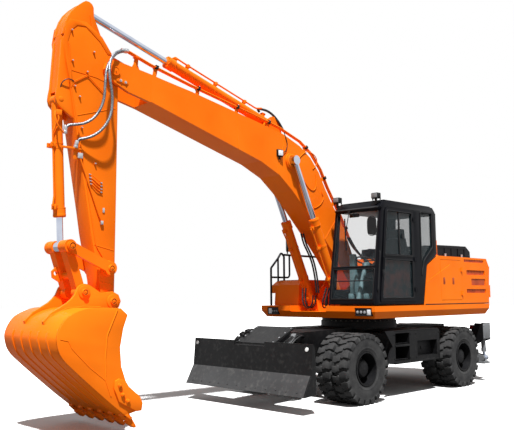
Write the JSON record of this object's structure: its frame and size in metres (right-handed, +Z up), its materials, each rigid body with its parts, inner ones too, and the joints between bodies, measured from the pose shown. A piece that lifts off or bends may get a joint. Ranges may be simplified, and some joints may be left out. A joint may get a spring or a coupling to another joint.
{
  "type": "wheeled excavator",
  "caption": "Wheeled hydraulic excavator with twin tyres, glazed cab, one-piece boom, arm, linkage and bucket, dozer blade in front and stabilisers behind.",
  "frame": {"origin": "on the ground under the middle of the bounding box", "axes": "+X forward along the chassis towards the blade and the bucket, +Y to the operator's left, +Z up"},
  "size_m": [8.96, 2.5, 5.385],
  "materials": {
    "orange": "gloss",
    "charcoal": "satin",
    "black_paint": "gloss",
    "mid_grey": "satin",
    "chrome": "polished",
    "tyre": "matte",
    "glass": "polished",
    "trim": "matte",
    "lamp": "gloss",
    "iron": "matte"
  },
  "bodies": {
    "chassis": {"chassis_frame": "charcoal", "side_boxes": "charcoal", "axles": "charcoal"},
    "knuckle_left": {"knuckle_left": "charcoal"},
    "knuckle_right": {"knuckle_right": "charcoal"},
    "blade": {"blade": "charcoal"},
    "blade_barrels": {"blade_cylinder_barrels": "mid_grey"},
    "blade_rods": {"blade_cylinder_rods": "chrome"},
    "upper": {"deck": "orange", "cab_shell": "black_paint", "cab_glass": "glass", "cab_interior": "trim", "engine_housing": "orange", "counterweight": "orange", "right_box": "orange", "handrails": "black_paint", "mirrors": "trim", "lamps": "lamp", "engine": "iron"},
    "cab_door": {"cab_door": "black_paint", "door_glass": "glass"},
    "hood_lid": {"hood_lid": "black_paint"},
    "side_door_left": {"side_door_left": "orange"},
    "side_door_right": {"side_door_right": "orange"},
    "boom": {"boom": "orange"},
    "boom_barrels": {"boom_cylinder_barrels": "orange"},
    "boom_rods": {"boom_cylinder_rods": "chrome"},
    "arm": {"arm": "orange"},
    "arm_barrel": {"arm_cylinder_barrel": "orange"},
    "arm_rod": {"arm_cylinder_rod": "chrome"},
    "bucket": {"bucket": "orange", "bucket_teeth": "orange"},
    "levers": {"levers": "orange"},
    "link": {"link": "orange"},
    "bucket_barrel": {"bucket_cylinder_barrel": "orange"},
    "bucket_rod": {"bucket_cylinder_rod": "chrome"},
    "stab_leg_left": {"stabiliser_leg_left": "mid_grey"},
    "stab_barrel_left": {"stabiliser_barrel_left": "mid_grey"},
    "stab_rod_left": {"stabiliser_rod_left": "chrome"},
    "wheel_front_left": {"tyres_front_left": "tyre", "hub_front_left": "charcoal"},
    "wheel_rear_left": {"tyres_rear_left": "tyre", "hub_rear_left": "charcoal"},
    "stab_leg_right": {"stabiliser_leg_right": "mid_grey"},
    "stab_barrel_right": {"stabiliser_barrel_right": "mid_grey"},
    "stab_rod_right": {"stabiliser_rod_right": "chrome"},
    "wheel_front_right": {"tyres_front_right": "tyre", "hub_front_right": "charcoal"},
    "wheel_rear_right": {"tyres_rear_right": "tyre", "hub_rear_right": "charcoal"}
  },
  "joints": [
    {"name": "swing", "type": "hinge", "parent": "chassis", "child": "upper", "pos_m": [-1.665, 0, 1.245], "axis": [0, 0, 1], "continuous": true},
    {"name": "steer_left", "type": "hinge", "parent": "chassis", "child": "knuckle_left", "pos_m": [-0.21, 0.615, 0.525], "axis": [0, 0, 1], "range_deg": [-30, 30]},
    {"name": "steer_right", "type": "hinge", "parent": "chassis", "child": "knuckle_right", "pos_m": [-0.21, -0.615, 0.525], "axis": [0, 0, 1], "range_deg": [-30, 30]},
    {"name": "wheel_front_left_spin", "type": "hinge", "parent": "knuckle_left", "child": "wheel_front_left", "pos_m": [-0.21, 0.955, 0.525], "axis": [0, 1, 0], "continuous": true},
    {"name": "wheel_rear_left_spin", "type": "hinge", "parent": "chassis", "child": "wheel_rear_left", "pos_m": [-3.09, 0.955, 0.525], "axis": [0, 1, 0], "continuous": true},
    {"name": "wheel_front_right_spin", "type": "hinge", "parent": "knuckle_right", "child": "wheel_front_right", "pos_m": [-0.21, -0.955, 0.525], "axis": [0, 1, 0], "continuous": true},
    {"name": "wheel_rear_right_spin", "type": "hinge", "parent": "chassis", "child": "wheel_rear_right", "pos_m": [-3.09, -0.955, 0.525], "axis": [0, 1, 0], "continuous": true},
    {"name": "blade_lift", "type": "hinge", "parent": "chassis", "child": "blade", "pos_m": [0.355, 0, 0.56], "axis": [0, -1, 0], "range_deg": [-22, 5]},
    {"name": "blade_barrel_swing", "type": "hinge", "parent": "chassis", "child": "blade_barrels", "pos_m": [0.345, 0, 0.985], "axis": [0, -1, 0], "range_deg": [-15, 4]},
    {"name": "blade_rod_slide", "type": "slide", "parent": "blade_barrels", "child": "blade_rods", "axis": [0.8879, 0, -0.4601], "range_m": [-0.035, 0.139]},
    {"name": "stabiliser_left_lower", "type": "hinge", "parent": "chassis", "child": "stab_leg_left", "pos_m": [-4.12, 0.3, 0.56], "axis": [-1, 0, 0], "range_deg": [0, 26]},
    {"name": "stabiliser_barrel_left_swing", "type": "hinge", "parent": "chassis", "child": "stab_barrel_left", "pos_m": [-4.12, 1.065, 1], "axis": [-1, 0, 0], "range_deg": [0, 10]},
    {"name": "stabiliser_rod_left_slide", "type": "slide", "parent": "stab_barrel_left", "child": "stab_rod_left", "axis": [0, 0.0438, -0.999], "range_m": [0, 0.348]},
    {"name": "stabiliser_right_lower", "type": "hinge", "parent": "chassis", "child": "stab_leg_right", "pos_m": [-4.12, -0.3, 0.56], "axis": [1, 0, 0], "range_deg": [0, 26]},
    {"name": "stabiliser_barrel_right_swing", "type": "hinge", "parent": "chassis", "child": "stab_barrel_right", "pos_m": [-4.12, -1.065, 1], "axis": [1, 0, 0], "range_deg": [0, 10]},
    {"name": "stabiliser_rod_right_slide", "type": "slide", "parent": "stab_barrel_right", "child": "stab_rod_right", "axis": [0, -0.0438, -0.999], "range_m": [0, 0.348]},
    {"name": "cab_door_hinge", "type": "hinge", "parent": "upper", "child": "cab_door", "pos_m": [-1.625, 1.243, 2.25], "axis": [0, 0, 1], "range_deg": [0, 160]},
    {"name": "hood_hinge", "type": "hinge", "parent": "upper", "child": "hood_lid", "pos_m": [-2.9, 0, 2.33], "axis": [0, 1, 0], "range_deg": [0, 60]},
    {"name": "side_door_left_hinge", "type": "hinge", "parent": "upper", "child": "side_door_left", "pos_m": [-3.14, 1.238, 1.875], "axis": [0, 0, 1], "range_deg": [0, 105]},
    {"name": "side_door_right_hinge", "type": "hinge", "parent": "upper", "child": "side_door_right", "pos_m": [-3.14, -1.238, 1.875], "axis": [0, 0, -1], "range_deg": [0, 105]},
    {"name": "boom_lift", "type": "hinge", "parent": "upper", "child": "boom", "pos_m": [-1.515, -0.14, 1.8], "axis": [0, -1, 0], "range_deg": [-50, 40]},
    {"name": "boom_barrel_swing", "type": "hinge", "parent": "upper", "child": "boom_barrels", "pos_m": [-0.96, -0.14, 1.455], "axis": [0, -1, 0], "range_deg": [-52, 42]},
    {"name": "boom_rod_slide", "type": "slide", "parent": "boom_barrels", "child": "boom_rods", "axis": [0.4324, 0, 0.9017], "range_m": [-0.54, 0.433]},
    {"name": "arm_swing", "type": "hinge", "parent": "boom", "child": "arm", "pos_m": [3.505, -0.14, 4.52], "axis": [0, 1, 0], "range_deg": [-95, 20]},
    {"name": "arm_barrel_swing", "type": "hinge", "parent": "boom", "child": "arm_barrel", "pos_m": [0.435, -0.14, 4.373], "axis": [0, 1, 0], "range_deg": [-3, 1]},
    {"name": "arm_rod_slide", "type": "slide", "parent": "arm_barrel", "child": "arm_rod", "axis": [0.9659, 0, 0.259], "range_m": [-1.283, 0.273]},
    {"name": "bucket_curl", "type": "hinge", "parent": "arm", "child": "bucket", "pos_m": [3.5, -0.14, 1.56], "axis": [0, 1, 0], "range_deg": [-25, 135]},
    {"name": "lever_swing", "type": "hinge", "parent": "arm", "child": "levers", "pos_m": [3.53, -0.14, 1.97], "axis": [0, 1, 0], "range_deg": [-18, 93]},
    {"name": "link_swing", "type": "hinge", "parent": "levers", "child": "link", "pos_m": [4.1, -0.14, 2.223], "axis": [0, 1, 0], "range_deg": [-54, 11]},
    {"name": "bucket_barrel_swing", "type": "hinge", "parent": "arm", "child": "bucket_barrel", "pos_m": [4.205, -0.14, 4.035], "axis": [0, 1, 0], "range_deg": [-1, 3]},
    {"name": "bucket_rod_slide", "type": "slide", "parent": "bucket_barrel", "child": "bucket_rod", "axis": [-0.0578, 0, -0.9983], "range_m": [-0.176, 0.932]}
  ],
  "couplings": [
    {"joint": "steer_right", "follows": "steer_left", "ratio": 1},
    {"joint": "blade_barrel_swing", "follows": "blade_lift", "ratio": 0.64613},
    {"joint": "blade_rod_slide", "follows": "blade_lift", "m_per_rad": -0.35141},
    {"joint": "stabiliser_barrel_left_swing", "follows": "stabiliser_left_lower", "ratio": 0.35417},
    {"joint": "stabiliser_rod_left_slide", "follows": "stabiliser_left_lower", "m_per_rad": 0.75799},
    {"joint": "stabiliser_barrel_right_swing", "follows": "stabiliser_right_lower", "ratio": 0.35417},
    {"joint": "stabiliser_rod_right_slide", "follows": "stabiliser_right_lower", "m_per_rad": 0.75799},
    {"joint": "boom_barrel_swing", "follows": "boom_lift", "ratio": 1.0159},
    {"joint": "boom_rod_slide", "follows": "boom_lift", "m_per_rad": 0.61382},
    {"joint": "arm_barrel_swing", "follows": "arm_swing", "ratio": 0.01704},
    {"joint": "arm_rod_slide", "follows": "arm_swing", "m_per_rad": 0.77118},
    {"joint": "lever_swing", "follows": "bucket_curl", "ratio": 0.6794},
    {"joint": "link_swing", "follows": "bucket_curl", "ratio": -0.38954},
    {"joint": "bucket_barrel_swing", "follows": "bucket_curl", "ratio": 0.01494},
    {"joint": "bucket_rod_slide", "follows": "bucket_curl", "m_per_rad": 0.39381}
  ]
}
